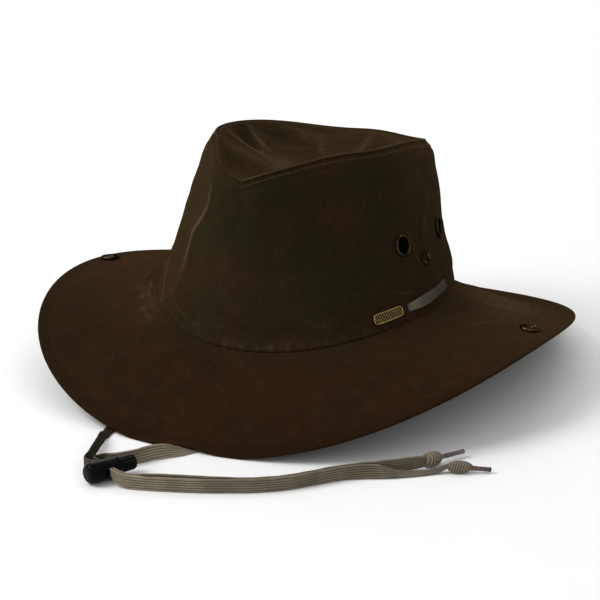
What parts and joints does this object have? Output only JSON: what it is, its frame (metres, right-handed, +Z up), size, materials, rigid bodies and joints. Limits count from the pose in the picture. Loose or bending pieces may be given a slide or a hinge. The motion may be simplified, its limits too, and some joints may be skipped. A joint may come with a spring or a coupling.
{
  "type": "outdoor hat",
  "caption": "Wide-brimmed waxed-cotton hat with a pinched crown, side eyelets, brim snaps and a flat lace chin cord in a spring lock.",
  "frame": {"origin": "on the surface that the hat stands on, under the middle of the hat without its loose chin cord", "axes": "-Y to the front of the hat, +X to the wearer's left, +Z up"},
  "size_m": [0.3147, 0.3897, 0.1421],
  "materials": {
    "waxed_cloth": "dark brown waxed cotton with a soft sheen, paler where it is creased",
    "aged_brass": "darkened brass, brighter on its rims",
    "lace": "matt grey-brown flat woven lace",
    "lace_tip": "satin shrunk tube",
    "lock_plastic": "glossy black"
  },
  "bodies": {
    "hat": {"crown_side": "waxed_cloth", "crown_tip": "waxed_cloth", "tip_seam_lap": "waxed_cloth", "brim": "waxed_cloth", "front_eyelet_left": "aged_brass", "rear_eyelet_left": "aged_brass", "front_eyelet_right": "aged_brass", "rear_eyelet_right": "aged_brass", "crown_snap_left": "aged_brass", "crown_snap_right": "aged_brass", "brim_snap_left": "aged_brass", "brim_snap_right": "aged_brass", "badge_plate": "aged_brass", "crown_cord": "lace", "chin_cord_left": "lace", "chin_cord_right": "lace", "knot_left": "lace", "knot_right": "lace", "aglet_left": "lace_tip", "aglet_right": "lace_tip", "lock_barrel": "lock_plastic"},
    "button": {"lock_button": "lock_plastic"}
  },
  "joints": [
    {"name": "button_press", "type": "slide", "parent": "hat", "child": "button", "axis": [-0.4478, -0.8941, 0], "range_m": [0, 0.003], "stiffness_N_per_m": 600}
  ]
}
